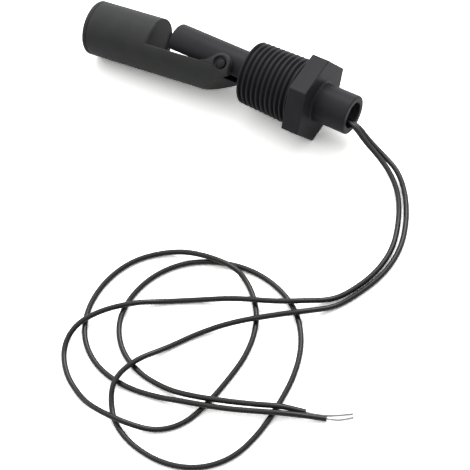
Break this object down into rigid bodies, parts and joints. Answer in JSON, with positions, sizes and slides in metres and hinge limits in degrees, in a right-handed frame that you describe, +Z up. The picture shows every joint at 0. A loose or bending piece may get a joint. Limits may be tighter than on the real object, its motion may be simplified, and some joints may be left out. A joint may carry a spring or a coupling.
{
  "type": "float level switch",
  "caption": "Side-mounted float level switch: threaded plastic body, hinged float with magnet, sealed reed contact in the stem, and flying leads.",
  "frame": {"origin": "on the thread axis, in the face of the hexagon that closes on the tank wall", "axes": "+X along the thread axis towards the leads, +Z up as the part lies on a table on one flat of its hexagon; the stem's own up direction is rolled 60 degrees about X, to (0, 0.866, 0.5)"},
  "size_m": [0.148, 0.1407, 0.0254],
  "materials": {
    "body_plastic": "semi-gloss moulded",
    "float_plastic": "semi-gloss moulded",
    "potting_resin": "gloss",
    "magnet": "matt",
    "reed_glass": "clear",
    "reed_metal": "plated",
    "sleeving": "matt",
    "tinned_copper": "tinned",
    "lead_insulation": "semi-gloss"
  },
  "bodies": {
    "body": {"switch_body": "body_plastic", "potting": "potting_resin", "reed_glass": "reed_glass", "reed_blade_tip": "reed_metal", "reed_blade_root": "reed_metal", "reed_sleeve": "sleeving", "solder_joint_tip": "tinned_copper", "solder_joint_root": "tinned_copper", "lead_1_tail": "lead_insulation", "lead_2_tail": "lead_insulation", "tail_1_core": "tinned_copper", "tail_2_core": "tinned_copper", "lead_1": "lead_insulation", "lead_2": "lead_insulation", "lead_1_core": "tinned_copper", "lead_2_core": "tinned_copper"},
    "float": {"float_shell": "float_plastic", "float_end_cap": "float_plastic", "float_magnet": "magnet", "magnet_plug": "float_plastic"}
  },
  "joints": [
    {"name": "float_hinge", "type": "hinge", "parent": "body", "child": "float", "pos_m": [-0.0277, -0.00118, -0.00068], "axis": [0, -0.5, 0.866], "range_deg": [-5.83, 34.17]}
  ]
}
